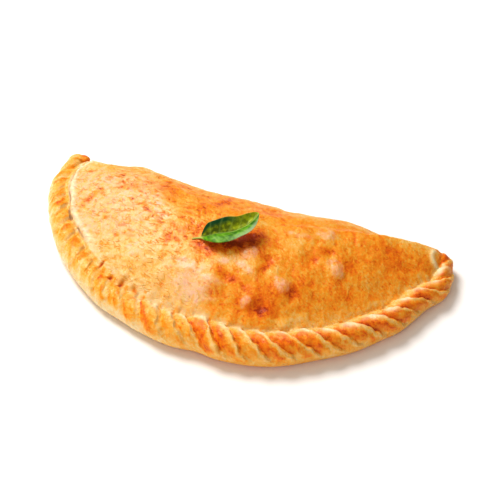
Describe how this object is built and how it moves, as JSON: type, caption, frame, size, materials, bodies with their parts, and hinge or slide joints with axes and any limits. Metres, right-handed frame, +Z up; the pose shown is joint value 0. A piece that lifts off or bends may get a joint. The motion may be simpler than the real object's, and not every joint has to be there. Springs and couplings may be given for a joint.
{
  "type": "calzone",
  "caption": "Baked half-moon calzone, a folded dough pocket with a rope-twisted rim on its curved side and a basil leaf on top.",
  "frame": {"origin": "under the middle of the calzone, on the flat surface it rests on", "axes": "+X along the straight fold from one tip to the other, +Y from the twisted rim towards the fold, +Z up"},
  "size_m": [0.296, 0.144, 0.0553],
  "materials": {
    "crust": "satin",
    "leaf": "satin"
  },
  "bodies": {
    "root": {"calzone": "crust", "basil_leaf": "leaf"}
  },
  "joints": []
}
